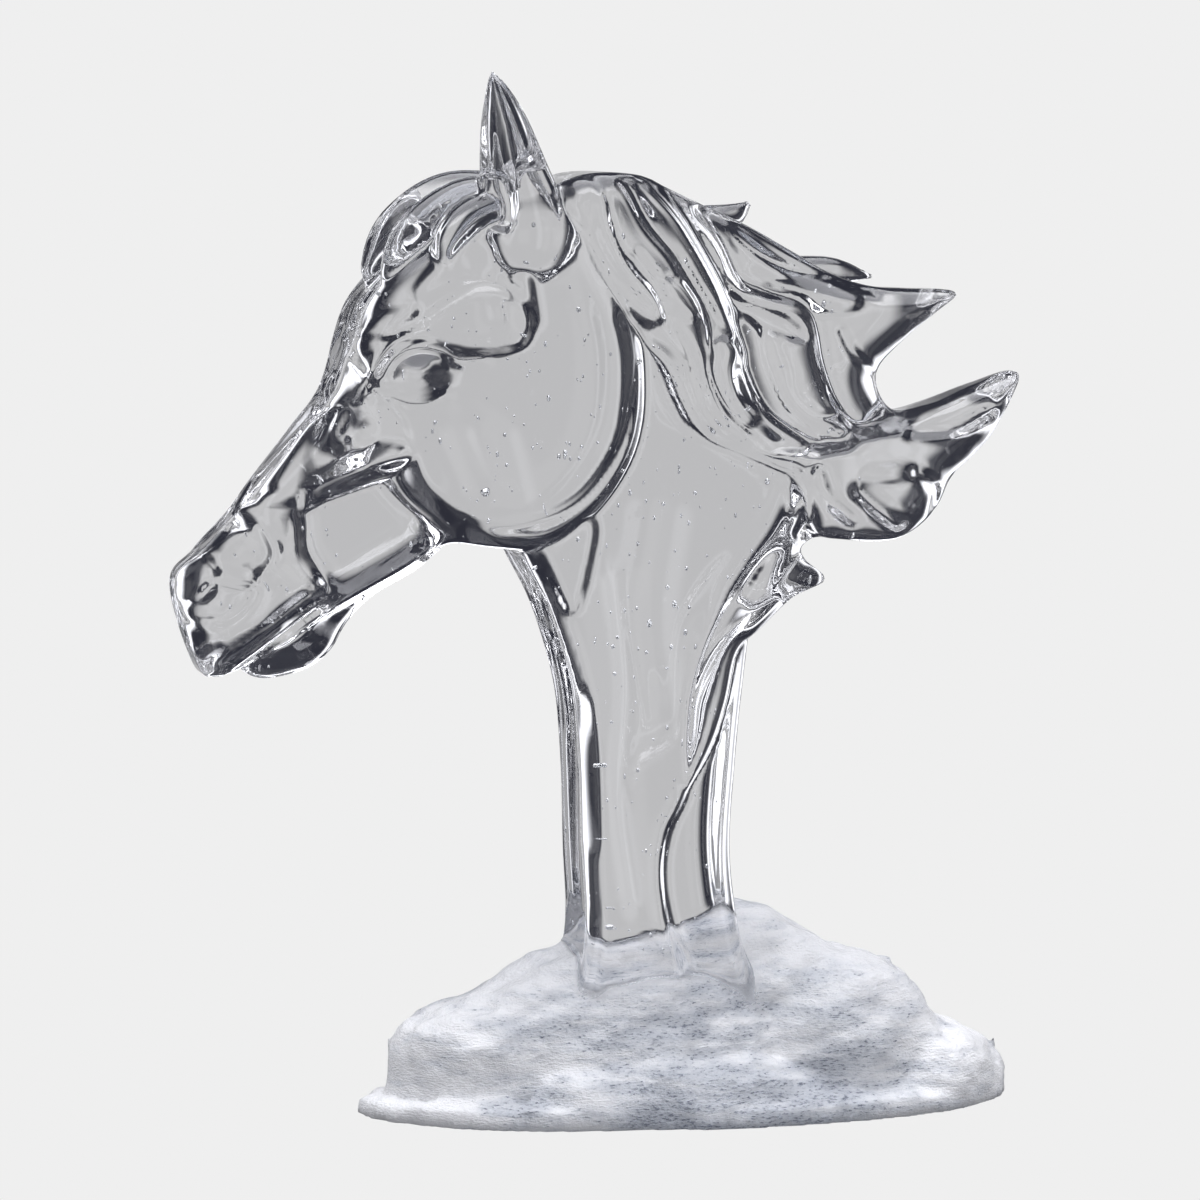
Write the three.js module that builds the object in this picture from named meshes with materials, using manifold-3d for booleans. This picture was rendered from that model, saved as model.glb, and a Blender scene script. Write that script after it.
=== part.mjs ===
// A horse's head and neck with a wind-blown mane, poured in one piece of clear resin.
// The neck rises out of a rough mound of the same casting, and the mound's flat underside is what it stands on.
// Millimetres, +Z up. The horse looks along -X. The near side is -Y and the far side is +Y.
// The head is the same on both sides of the XZ plane; the far ear and the far locks lie a little differently.

import * as THREE from "three";
import { mergeVertices } from "three/addons/utils/BufferGeometryUtils.js";
import Module from "manifold-3d";

const wasm = await Module();
wasm.setup();

// Driving sizes of the mound
const moundCentre = 35;
const moundLength = 258;
const moundDepth = 128;
const slabHeight = 13;
const rippleHeight = 1.6;

// Driving sizes of the head and the mane
const headHalfWidth = 38;
const earSpread = 25;
const farEarShift = [10, -5];
const cheekRadius = 46;
const maneHalfWidth = 31;
const lockRadius = 6.5;
const strandSway = 4;
const nearLocks = 7;
const farLocks = 5;

// Each row of a profile is one section of the body: the x and z of one edge, the x and z of the
// opposite edge, and the half width. Splines run along the edges from row to row.

// Skull, nose and upper lip, from the lip to the poll: upper edge, lower edge, half width
const skullProfile = [
  [-165, 206, -156, 173, 12],
  [-155, 219, -141, 171, 18],
  [-141, 234, -121, 184, 21],
  [-129, 249, -98, 198, 22],
  [-117, 264, -78, 212, 24],
  [-105, 278, -60, 220, 29],
  [-100, 296, -38, 221, 36],
  [-94, 312, -12, 222, headHalfWidth],
  [-81, 327, 4, 240, headHalfWidth],
  [-64, 339, 14, 266, 36],
  [-45, 348, 17, 297, 33],
  [-22, 355, 12, 322, 26],
];

// Lower lip, chin and jaw bar, from the lip back
const jawProfile = [
  [-138, 180, -136, 174, 9],
  [-131, 184, -128, 171, 13],
  [-117, 193, -112, 176, 15],
  [-103, 203, -100, 187, 15],
  [-90, 214, -87, 201, 15],
  [-76, 224, -70, 211, 17],
];

// Neck from inside the mound up to the poll: front edge, back edge, half width
const neckProfile = [
  [-17, 20, 64, 20, 32],
  [-9, 66, 54, 66, 28],
  [-10, 100, 49, 100, 27],
  [-11, 135, 51, 135, 27],
  [-14, 165, 54, 165, 28],
  [-23, 195, 58, 192, 29],
  [-35, 222, 71, 220, 30],
  [-34, 250, 92, 252, 30],
  [-32, 285, 84, 292, 29],
  [-30, 315, 58, 326, 27],
  [-34, 340, 10, 357, 21],
];

// Body of the mane, from the poll back to the notch between its two tips: crest, lower edge, half width
const maneProfile = [
  [-30, 356, -20, 335, 14],
  [-10, 362, 0, 318, 24],
  [12, 359, 24, 290, 29],
  [33, 350, 42, 262, maneHalfWidth],
  [54, 341, 64, 249, 30],
  [74, 330, 83, 240, 25],
  [89, 318, 95, 236, 18],
  [100, 301, 103, 250, 11],
];

// Ear from its root up: front edge, back edge, half thickness
const earProfile = [
  [-49, 328, -18, 328, 11],
  [-51, 346, -20, 345, 11],
  [-51, 362, -24, 359, 10],
  [-50, 376, -31, 373, 8],
  [-48.5, 388, -37, 386, 5],
  [-46, 399.5, -44, 399, 2],
];

// Each row of a lock is a point of its middle line, x, y and z, then its half height and half thickness.
const upperTip = [
  [74, 0, 302, 22, 18],
  [98, -1, 304, 15, 12],
  [118, -3, 307, 11, 8],
  [130, -4, 311, 6, 5],
  [139, -5, 314, 1, 1],
];
const lowerTip = [
  [85, -4, 246, 18, 18],
  [112, -6, 252, 15, 13],
  [135, -8, 262, 14, 10],
  [151, -9, 272, 9, 7],
  [165, -10, 283, 1, 1],
];
const lowerLobe = [
  [58, -12, 256, 12, 14],
  [78, -12, 246, 15, 14],
  [98, -10, 237, 15, 11],
  [115, -8, 233, 13, 8],
  [130, -7, 238, 4, 4],
];
const hangingLock = [
  [79, -12, 224, 9, 9],
  [61, -17, 201, 10, 9],
  [46, -22, 178, 8, 8],
  [38, -25, 159, 7, 7],
  [34, -25, 140, 6, 6],
  [28, -24, 121, 1, 1],
];
const hangingSpur = [
  [56, -16, 198, 9, 7],
  [72, -14, 204, 8, 6],
  [87, -13, 205, 1, 1],
];
const farCrestLock = [
  [52, 12, 328, 10, 8],
  [78, 14, 320, 8, 6],
  [98, 14, 321, 6, 4],
  [113, 15, 320, 1, 1],
];
const farCrestTuft = [
  [24, 8, 342, 8, 8],
  [44, 10, 340, 8, 6],
  [56, 11, 344, 5, 4],
  [63, 12, 348, 1, 1],
];
const forelocks = [
  [
    [-36, -8, 350, 8, 8],
    [-58, -12, 346, 8, 8],
    [-74, -17, 337, 6, 6],
    [-82, -24, 320, 1, 1],
  ],
  [
    [-36, -14, 349, 8, 7],
    [-54, -20, 343, 6, 6],
    [-66, -27, 329, 1, 1],
  ],
  [
    [-34, 0, 350, 9, 9],
    [-56, 0, 346, 9, 11],
    [-74, 0, 335, 7, 9],
    [-87, -2, 318, 1, 2],
  ],
  [
    [-36, 12, 349, 8, 8],
    [-56, 16, 344, 7, 7],
    [-66, 24, 326, 1, 1],
  ],
];

// Facial crest on the near side, from above the mouth to under the eye
const facialCrest = [
  [-118, -17, 228, 5, 4],
  [-99, -22, 242, 6, 5],
  [-76, -29, 248, 5, 5],
  [-58, -33, 248, 1, 1],
];
const browRidge = [
  [-95, -24, 281, 3, 3],
  [-93, -30, 296, 5, 5],
  [-80, -34, 305, 6, 6],
  [-62, -36, 299, 5, 5],
  [-46, -36, 300, 1, 1],
];

// The unit superellipse: a circle when squareness is 2, with flatter sides as it grows.
function superellipse(angle, squareness) {
  const bend = (value) => Math.sign(value) * Math.abs(value) ** (2 / squareness);
  return [bend(Math.cos(angle)), bend(Math.sin(angle))];
}

// A closed body made from the rings of a sphere. The ring at height 1 - 2t goes to place(t), which gives the
// centre of the section and its two half axes. A high bluntness keeps the section's size right up to the ends.
function carry({ rings, sides, squareness = 2, bluntness = 2, place }) {
  const geometry = new THREE.SphereGeometry(1, sides, rings);
  const points = geometry.getAttribute("position");
  for (let i = 0; i < points.count; i++) {
    const t = THREE.MathUtils.clamp((1 - points.getY(i)) / 2, 0, 1);
    const size = (1 - Math.abs(2 * t - 1) ** bluntness) ** (1 / bluntness);
    const [across, along] = superellipse(Math.atan2(points.getZ(i), points.getX(i)), squareness);
    const { centre, first, second } = place(t);
    const point = centre.clone().addScaledVector(first, size * across).addScaledVector(second, size * along);
    points.setXYZ(i, point.x, point.y, point.z);
  }
  return geometry;
}

function spline(rows, pick) {
  return new THREE.CatmullRomCurve3(rows.map((row) => new THREE.Vector3(...pick(row))), false, "catmullrom");
}

// A body between two edges in planes across Y, as wide as its rows say, with its middle at side.
function between(profile, { side = 0, shift = [0, 0], rings = 16, sides = 18, squareness = 2.7, bluntness = 6 }) {
  const upper = spline(profile, ([x, z]) => [x + shift[0], side, z + shift[1]]);
  const lower = spline(profile, ([, , x, z]) => [x + shift[0], side, z + shift[1]]);
  const width = spline(profile, ([, , , , half]) => [0, half, 0]);
  return carry({
    rings,
    sides,
    squareness,
    bluntness,
    place(t) {
      const [a, b] = [upper.getPoint(t), lower.getPoint(t)];
      return {
        centre: a.clone().add(b).multiplyScalar(0.5),
        first: a.clone().sub(b).multiplyScalar(0.5),
        second: width.getPoint(t),
      };
    },
  });
}

// A lock of hair: an oval carried along a curve, with its height in the XZ plane.
function lock(rows, { rings = 10, sides = 8, mirrored = false, bluntness = 4 } = {}) {
  const flip = mirrored ? -1 : 1;
  const middle = spline(rows, ([x, y, z]) => [x, y * flip, z]);
  const size = spline(rows, ([, , , height, thickness]) => [height, thickness, 0]);
  return carry({
    rings,
    sides,
    bluntness,
    place(t) {
      const along = middle.getTangent(t);
      const up = along.clone().cross(new THREE.Vector3(0, 1, 0)).normalize();
      const { x: height, y: thickness } = size.getPoint(t);
      return {
        centre: middle.getPoint(t),
        first: up.clone().multiplyScalar(Math.max(height, 0.5)),
        second: along.clone().cross(up).normalize().multiplyScalar(Math.max(thickness, 0.5)),
      };
    },
  });
}

// An ellipsoid with its middle at centre and the three half axes given.
function bulge(centre, half, { rings = 10, sides = 16, squareness = 2, bluntness = 2 } = {}) {
  const [x, y, z] = centre;
  return carry({
    rings,
    sides,
    squareness,
    bluntness,
    place: (t) => ({
      centre: new THREE.Vector3(x, y + half[1] * (2 * t - 1), z),
      first: new THREE.Vector3(half[0], 0, 0),
      second: new THREE.Vector3(0, 0, half[2]),
    }),
  });
}

// Height of one rounded rock over the point x, y.
function rock(x, y, [centreX, centreY, radiusX, radiusY, height, fullness]) {
  const reach = Math.hypot((x - centreX) / radiusX, (y - centreY) / radiusY);
  return reach >= 1 ? 0 : height * (1 - reach ** fullness) ** (1 / fullness);
}

// Rocks of the mound: centre x and y, radius in x and y, height, and how full the dome is
const rocks = [
  [moundCentre, 0, moundLength / 2, moundDepth / 2, slabHeight, 3.5],
  [14, 6, 76, 54, 66, 2],
  [-34, 2, 49, 40, 41, 4],
  [56, 14, 48, 42, 76, 2],
  [92, 6, 50, 48, 58, 2.2],
  [124, 2, 40, 44, 30, 2.4],
  [24, -34, 64, 28, 26, 2.4],
  [40, 36, 62, 27, 34, 2.4],
];
const rockBlend = 7;

// Height of the mound: a soft maximum of its rocks with a slow ripple over them, which dies out at the rim.
function moundTop(x, y) {
  const total = rocks.reduce((sum, each) => sum + rock(x, y, each) ** rockBlend, 0);
  const height = total ** (1 / rockBlend);
  const ripple = Math.sin(x * 0.11 + 1) * Math.cos(y * 0.13 - 0.5) + 0.6 * Math.sin(x * 0.23 - y * 0.19);
  return height + rippleHeight * ripple * Math.min(1, height / slabHeight);
}

// The mound's outline: an ellipse with a slow waver, pulled in only so that its length stays exact.
function rimScale(angle) {
  return 1 - Math.sin(angle) ** 2 * (0.015 + 0.015 * Math.cos(7 * angle)) - 0.012 * Math.sin(4 * angle) ** 2;
}

// The mound on a grid of rings: the top rings follow its height, and the last few close the flat underside.
// Crowding draws the rings closer together towards the rim.
function mound({ rings = 17, sides = 36, topShare = 0.88, crowding = 1.7 } = {}) {
  const geometry = new THREE.SphereGeometry(1, sides, rings);
  const points = geometry.getAttribute("position");
  for (let i = 0; i < points.count; i++) {
    const v = Math.acos(THREE.MathUtils.clamp(points.getY(i), -1, 1)) / Math.PI;
    const angle = Math.atan2(points.getZ(i), points.getX(i));
    const onTop = v <= topShare + 1e-6;
    const run = Math.min(1, onTop ? v / topShare : (1 - v) / (1 - topShare));
    const reach = (onTop ? 1 - (1 - run) ** crowding : run) * rimScale(angle);
    const x = moundCentre + (moundLength / 2) * reach * Math.cos(angle);
    const y = (moundDepth / 2) * reach * Math.sin(angle);
    points.setXYZ(i, x, y, onTop && run < 1 ? moundTop(x, y) : 0);
  }
  return geometry;
}

// A strand of the mane: it leaves the crest at share u of the way back, sweeps down over the side of the neck
// in a shallow S, and comes back towards the middle where the mane ends.
const crestLine = spline(
  [
    [-14, 358],
    [12, 357],
    [36, 347],
    [60, 336],
    [84, 322],
  ],
  ([x, z]) => [x, 8, z],
);
const footLine = spline(
  [
    [42, 256, 27],
    [62, 250, 26],
    [84, 246, 20],
    [100, 250, 14],
    [112, 272, 8],
  ],
  ([x, z, y]) => [x, y, z],
);
function strand(u) {
  const [top, foot] = [crestLine.getPoint(u), footLine.getPoint(u)];
  const belly = THREE.MathUtils.lerp(maneHalfWidth + 2, 16, u);
  return [0, 0.3, 0.65, 0.87, 1].map((share) => {
    const point = top.clone().lerp(foot, share);
    const sway = strandSway * Math.sin(2 * Math.PI * share);
    const out = Math.max(point.y, belly * Math.sin(Math.PI * Math.min(share + 0.15, 0.6)));
    const radius = lockRadius * (share === 1 ? 0.3 : 1);
    return [point.x + sway, -out, point.z, radius, radius * 0.8];
  });
}

// A geometry as a solid, with its faces turned outwards.
function solid(geometry) {
  geometry.deleteAttribute("normal");
  geometry.deleteAttribute("uv");
  const merged = mergeVertices(geometry, 1e-3);
  const build = (triVerts) =>
    new wasm.Manifold(
      new wasm.Mesh({
        numProp: 3,
        vertProperties: new Float32Array(merged.getAttribute("position").array),
        triVerts,
      }),
    );
  const faces = faceList(merged);
  const made = build(faces);
  return made.volume() > 0 ? made : build(faces.slice().reverse());
}

// The triangles of a merged geometry, without those that a pole or a seam has shrunk to nothing.
function faceList(geometry) {
  const index = geometry.getIndex().array;
  const kept = [];
  for (let i = 0; i < index.length; i += 3) {
    const [a, b, c] = [index[i], index[i + 1], index[i + 2]];
    if (a !== b && b !== c && c !== a) kept.push(a, b, c);
  }
  return new Uint32Array(kept);
}

const join = (geometries) => geometries.map(solid).reduce((whole, each) => whole.add(each));

// One ear with its hollow, which opens forwards and outwards.
function ear(side, shift) {
  const outwards = Math.sign(side);
  const shell = join([
    between(earProfile, { side, shift, rings: 12, sides: 14, squareness: 2.1, bluntness: 5 }),
    bulge([-36 + shift[0], side + outwards * 2, 337 + shift[1]], [17, 11, 14]),
  ]);
  const hollow = lock(
    [
      [-50 + shift[0], side + outwards * 9, 350 + shift[1], 5, 5],
      [-50 + shift[0], side + outwards * 9, 368 + shift[1], 7, 5],
      [-49 + shift[0], side + outwards * 7, 384 + shift[1], 4, 4],
      [-48 + shift[0], side + outwards * 5, 396 + shift[1], 1, 1],
    ],
    { sides: 8, bluntness: 2 },
  );
  return shell.subtract(solid(hollow));
}

// The head: skull, jaw, cheek plates, brows, closed eyes, facial crests and forelock, with nostrils cut in.
function head() {
  const sideDetails = [false, true].flatMap((mirrored) => {
    const outwards = mirrored ? 1 : -1;
    return [
      lock(facialCrest, { mirrored, rings: 8, sides: 6 }),
      lock(browRidge, { mirrored, rings: 10, sides: 6 }),
      bulge([-78, outwards * 29, 290], [14, 9, 9], { rings: 8, sides: 12 }),
    ];
  });
  const body = join([
    between(skullProfile, { rings: 20, sides: 20 }),
    between(jawProfile, { rings: 10, sides: 14, squareness: 2.3, bluntness: 3 }),
    bulge([-28, 0, 268], [cheekRadius - 1, headHalfWidth + 0.5, cheekRadius + 2], {
      rings: 10,
      sides: 26,
      bluntness: 3,
    }),
    ...sideDetails,
    ...forelocks.map((rows) => lock(rows, { rings: 8, sides: 6 })),
  ]);
  const nostrils = join([-1, 1].map((outwards) => bulge([-147, outwards * 20, 203], [9, 6, 4], { sides: 10 })));
  return body.subtract(nostrils);
}

// The mane: its body, the fans of strands on both sides, the wind-blown tips and the hanging locks.
function mane() {
  const fan = (count, mirrored) =>
    Array.from({ length: count }, (_, i) => lock(strand(i / (count - 1)), { mirrored, rings: 9, sides: 6 }));
  return join([
    between(maneProfile, { rings: 16, sides: 18, squareness: 2.4, bluntness: 5 }),
    ...fan(nearLocks, false),
    ...fan(farLocks, true),
    ...[upperTip, lowerTip, lowerLobe, hangingLock, hangingSpur, farCrestLock, farCrestTuft].map((rows) => lock(rows)),
  ]);
}

const casting = solid(mound())
  .add(solid(between(neckProfile, { rings: 18, sides: 20, squareness: 3 })))
  .add(head())
  .add(ear(-earSpread, [0, 0]))
  .add(ear(earSpread, farEarShift))
  .add(mane());

// The finished solid as a geometry.
function geometryOf(manifold) {
  const mesh = manifold.getMesh();
  const positions = new Float32Array(mesh.numVert * 3);
  for (let i = 0; i < mesh.numVert; i++) {
    positions.set(mesh.vertProperties.subarray(i * mesh.numProp, i * mesh.numProp + 3), i * 3);
  }
  return new THREE.BufferGeometry()
    .setAttribute("position", new THREE.BufferAttribute(positions, 3))
    .setIndex(new THREE.BufferAttribute(mesh.triVerts, 1));
}

const clearResin = new THREE.MeshStandardMaterial({
  color: "#d4d7dd",
  roughness: 0.05,
  metalness: 0,
  transparent: true,
  opacity: 0.4,
});

const horse = new THREE.Mesh(geometryOf(casting), clearResin);
horse.name = "horse_head_casting";

const sculpture = new THREE.Group();
sculpture.add(horse);

export default sculpture;
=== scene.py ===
# %% [markdown]
# # A horse's head in clear resin
#
# The real object is one casting. A horse's head, its neck and a wind-blown mane were modelled, moulded
# and poured in water-clear resin together with the rough mound that they grow out of. The horse was then
# polished, and the mound was left frosted. Because it is one block of one clear stuff, there is no
# surface inside it except small air bubbles. That decides how it has to be made here: every form must
# melt into its neighbour, because any wall left inside a clear body shows at once as a bright line.

# %% Load the fixed frame
import math

import bpy
import numpy as np
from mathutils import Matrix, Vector


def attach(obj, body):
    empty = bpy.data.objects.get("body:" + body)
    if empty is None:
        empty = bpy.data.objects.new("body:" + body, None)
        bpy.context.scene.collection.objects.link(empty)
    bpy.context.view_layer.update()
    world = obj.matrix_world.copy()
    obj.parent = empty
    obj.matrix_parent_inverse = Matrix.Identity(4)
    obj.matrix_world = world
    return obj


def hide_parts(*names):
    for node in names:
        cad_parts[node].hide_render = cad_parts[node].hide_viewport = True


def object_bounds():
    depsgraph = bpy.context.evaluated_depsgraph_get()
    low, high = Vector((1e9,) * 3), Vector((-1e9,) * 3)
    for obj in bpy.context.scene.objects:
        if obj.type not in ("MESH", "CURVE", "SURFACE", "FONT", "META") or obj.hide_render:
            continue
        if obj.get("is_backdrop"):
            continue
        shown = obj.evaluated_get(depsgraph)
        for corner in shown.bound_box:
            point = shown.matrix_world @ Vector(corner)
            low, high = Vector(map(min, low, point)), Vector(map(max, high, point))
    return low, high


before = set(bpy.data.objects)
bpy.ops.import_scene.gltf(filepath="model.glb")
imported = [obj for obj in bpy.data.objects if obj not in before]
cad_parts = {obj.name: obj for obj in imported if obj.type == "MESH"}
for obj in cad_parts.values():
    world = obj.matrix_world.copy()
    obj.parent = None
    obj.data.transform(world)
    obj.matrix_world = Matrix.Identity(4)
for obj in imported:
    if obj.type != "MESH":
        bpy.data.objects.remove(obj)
scene = bpy.context.scene
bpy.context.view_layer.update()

# %% [markdown]
# ## The camera
#
# The photo looks at the horse's left side, turned a little towards its face and a little down. A long
# lens from over two metres keeps the outlines nearly parallel, as in a studio picture of a small
# ornament. All lengths below are in millimetres until the meshes are written, because a maker would
# measure the piece so.

# %% Camera
MM = 0.001
SENSOR_WIDTH = 36.0
CAMERA_AZIMUTH = math.radians(-12)
CAMERA_ELEVATION = math.radians(5)
CAMERA_DISTANCE = 2200.0
PICTURE_WIDTH = 462.0
AIM = Vector((1.2, 0.0, 196.6))

towards_camera = Vector((
    math.sin(CAMERA_AZIMUTH) * math.cos(CAMERA_ELEVATION),
    -math.cos(CAMERA_AZIMUTH) * math.cos(CAMERA_ELEVATION),
    math.sin(CAMERA_ELEVATION),
))
camera_data = bpy.data.cameras.new("camera")
camera_data.sensor_width = SENSOR_WIDTH
camera_data.sensor_fit = "HORIZONTAL"
camera_data.lens = SENSOR_WIDTH * CAMERA_DISTANCE / PICTURE_WIDTH
camera = bpy.data.objects.new("camera", camera_data)
camera.location = (AIM + towards_camera * CAMERA_DISTANCE) * MM
camera.rotation_euler = (-towards_camera).to_track_quat("-Z", "Y").to_euler()
scene.collection.objects.link(camera)
scene.camera = camera
print("lens", round(camera_data.lens, 1), "mm at", CAMERA_DISTANCE, "mm")

# %% [markdown]
# ## One field for the whole casting
#
# Lofts or subdivided cages would leave seams where head, neck and mane meet. Instead each form is a
# field: a number for every point of space, negative inside the form and close to the distance in
# millimetres outside. The smooth minimum of two fields is the field of the two forms melted together,
# like wax. When all forms are in, the surface where the field is zero is meshed once, and the result is a
# single closed skin.
#
# The field is kept on a grid of points. Its layers lie further apart over the mound, whose rough face
# doesn't need small triangles, and closer over the horse. Over the face, the columns lie closer too.

# %% The grid
FINE_STEP = 1.3
STEP = 1.7
LOW_STEP = 2.4
FACE_END = -52.0
LOW_END = 116.0
GRID_LOW = np.array([-169.3, -67.9, -2.4])
GRID_HIGH = np.array([170.0, 67.9, 405.0])
FAR_AWAY = 40.0


def graded(low, change, high, first, second):
    """Grid lines from low to high, with one spacing before the change and another after it."""
    start = np.arange(low, change, first)
    return np.concatenate([start, np.arange(start[-1] + second, high, second)])


grid_x = graded(GRID_LOW[0], FACE_END, GRID_HIGH[0], FINE_STEP, STEP)
grid_y = np.arange(GRID_LOW[1], GRID_HIGH[1], STEP)
grid_z = graded(GRID_LOW[2], LOW_END, GRID_HIGH[2], LOW_STEP, 0.5 * (FINE_STEP + STEP))
axes = (grid_x, grid_y, grid_z)
side_x, side_z = np.meshgrid(grid_x, grid_z, indexing="ij")
horse = np.full((len(grid_x), len(grid_y), len(grid_z)), FAR_AWAY, np.float32)
print("grid", horse.shape, "=", round(horse.size / 1e6, 1), "million points")


# %% Smooth steps, melting and curves
def smooth_step(low, high, value):
    """0 below low, 1 above high, and the cubic 3t^2 - 2t^3 between."""
    t = np.clip((value - low) / (high - low), 0.0, 1.0)
    return t * t * (3 - 2 * t)


def smooth_min(a, b, blend):
    """The smaller of two fields, with a fillet about as wide as blend where they are nearly equal."""
    t = np.clip(0.5 + 0.5 * (b - a) / blend, 0.0, 1.0)
    return b * (1 - t) + a * t - blend * t * (1 - t)


def curve(rows, closed=False, steps=8):
    """A Catmull-Rom curve: a cubic between each two rows that leaves each row parallel to the chord of its
    neighbours. Rows may hold any number of values, such as x, y, z and a radius."""
    rows = np.asarray(rows, float)
    ends = (rows[-1:], rows[:2]) if closed else (2 * rows[:1] - rows[1:2], 2 * rows[-1:] - rows[-2:-1])
    padded = np.concatenate([ends[0], rows, ends[1]])
    p0, p1, p2, p3 = (padded[i : len(padded) - 3 + i, None] for i in range(4))
    t = (np.arange(steps) / steps)[None, :, None]
    points = 0.5 * (
        2 * p1 + (p2 - p0) * t + (2 * p0 - 5 * p1 + 4 * p2 - p3) * t**2 + (3 * p1 - p0 - 3 * p2 + p3) * t**3
    )
    points = points.reshape(-1, rows.shape[1])
    return np.concatenate([points, points[:1] if closed else rows[-1:]])


meeting = smooth_min(np.zeros(1), np.zeros(1), 3.0)[0]
print("a 3 mm blend fills by", -meeting, "mm")

# %% [markdown]
# ## Outlines and relief
#
# The sculpture is worked almost like a relief on both sides of a thick plate: flat polished cheeks, neck
# and nose, which the light passes straight through, and slopes and edges that bend it. So each large form
# is drawn as an outline in the side view and a map of how far it reaches to each side. A brow, an eyelid
# or a strand of hair is a soft stroke or a raised field on that map, as a carver would set it with one
# tool.

# %% Drawing on the side view
def distance_to(line, u, v):
    """Distance from the points (u, v) to a polyline: the least distance to any of its stretches."""
    best = np.full(np.shape(u), 1e9)
    for (au, av), (bu, bv) in zip(line[:-1], line[1:]):
        du, dv = bu - au, bv - av
        t = np.clip(((u - au) * du + (v - av) * dv) / max(du * du + dv * dv, 1e-9), 0, 1)
        best = np.minimum(best, (u - au - t * du) ** 2 + (v - av - t * dv) ** 2)
    return np.sqrt(best)


def outline_distance(line, u, v):
    """Distance to a closed line, negative inside. A point is inside if a level ray from it crosses the line
    an odd number of times."""
    inside = np.zeros(np.shape(u), bool)
    for (au, av), (bu, bv) in zip(line[:-1], line[1:]):
        if av != bv:
            inside ^= ((av > v) != (bv > v)) & (u < (bu - au) * (v - av) / (bv - av) + au)
    return distance_to(line, u, v) * np.where(inside, -1, 1)


print("side view of", *side_x.shape, "points")


# %% Strokes, domes and raised fields
def stroke(points, radius, height):
    """A soft ridge along a line, or a groove if height is below 0: height * exp(-(distance / radius)^2)."""
    line = curve(points) if len(points) > 2 else np.asarray(points, float)
    return height * np.exp(-((distance_to(line, side_x, side_z) / radius) ** 2))


def dome(centre, radii, height, lean=0.0):
    """A soft boss: height * (1 - r^2)^2 inside an ellipse whose long axis leans by an angle in degrees."""
    c, s = math.cos(math.radians(lean)), math.sin(math.radians(lean))
    x, z = side_x - centre[0], side_z - centre[1]
    r2 = ((x * c + z * s) / radii[0]) ** 2 + ((z * c - x * s) / radii[1]) ** 2
    return height * np.clip(1 - r2, 0, None) ** 2


def plateau(points, height, soft):
    """A raised field with a bevelled edge: height * a smooth step, as wide as soft, across its outline."""
    inwards = -outline_distance(curve(points, closed=True), side_x, side_z)
    return height * smooth_step(-soft / 2, soft / 2, inwards)


def soften(side, times):
    """A side map worn smooth: each value becomes a quarter, a half and a quarter of its row, times over."""
    for _ in range(times):
        for axis in (0, 1):
            padded = np.pad(side, [(1, 1) if a == axis else (0, 0) for a in (0, 1)], mode="edge")
            before, after = np.delete(padded, [-1, -2], axis), np.delete(padded, [0, 1], axis)
            side = 0.5 * side + 0.25 * (before + after)
    return side


print("a 2 mm stroke is", round(stroke([(0, 200), (0, 220)], 3, 2).max(), 2), "mm high")


# %% Plates and tapered rods
def add_form(field, outline, near, far=None, middle=0.0, edge=10.0, far_edge=None, blend=3.0):
    """Melts a plate with rounded edges into the field. With q the outline distance + edge and p the
    distance beyond the side + edge, the plate is min(max(q, p), 0) + hypot(max(q, 0), max(p, 0)) - edge."""
    reach = outline_distance(curve(outline, closed=True), side_x, side_z)
    ix = np.flatnonzero((reach < FAR_AWAY / 3).any(1))
    iz = np.flatnonzero((reach < FAR_AWAY / 3).any(0))
    window = (slice(ix[0], ix[-1] + 1), slice(None), slice(iz[0], iz[-1] + 1))

    def cut(value):
        return np.broadcast_to(value, side_x.shape)[window[0], window[2]][:, None, :]

    y = grid_y[None, :, None] - cut(middle)
    half = np.where(y < 0, cut(near), cut(near if far is None else far))
    rounding = np.minimum(np.where(y < 0, cut(edge), cut(edge if far_edge is None else far_edge)), half)
    q = cut(reach) + rounding
    p = np.abs(y) - half + rounding
    plate = np.minimum(np.maximum(q, p), 0) + np.hypot(np.maximum(q, 0), np.maximum(p, 0)) - rounding
    field[window] = smooth_min(field[window], plate, blend)


def add_tapered(field, rows, blend=2.0, squash=1.0, hollow=False):
    """Melts a tapered rod into the field, or cuts it out if hollow. Rows are x, y, z and radius along its
    middle. Squash stretches the measure across Y, which flattens the rod. The rod's field is the least
    distance - radius along the line."""
    line = curve(rows)
    low = (line[:, :3] - line[:, 3:] - 8).min(0)
    high = (line[:, :3] + line[:, 3:] + 8).max(0)
    window = tuple(slice(*np.searchsorted(a, (lo, hi))) for a, lo, hi in zip(axes, low, high))
    x, y, z = np.meshgrid(*(a[w] for a, w in zip(axes, window)), indexing="ij")
    rod = np.full(x.shape, FAR_AWAY)
    for a, b in zip(line[:-1], line[1:]):
        dx, dy, dz = b[0] - a[0], (b[1] - a[1]) * squash, b[2] - a[2]
        px, py, pz = x - a[0], (y - a[1]) * squash, z - a[2]
        t = np.clip((px * dx + py * dy + pz * dz) / (dx * dx + dy * dy + dz * dz), 0, 1)
        gap = np.sqrt((px - t * dx) ** 2 + (py - t * dy) ** 2 + (pz - t * dz) ** 2)
        rod = np.minimum(rod, gap - a[3] - t * (b[3] - a[3]))
    if hollow:
        field[window] = -smooth_min(-field[window], rod, blend)
    else:
        field[window] = smooth_min(field[window], rod, blend)


print("one field takes", round(horse.nbytes / 1e6), "MB")

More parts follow.
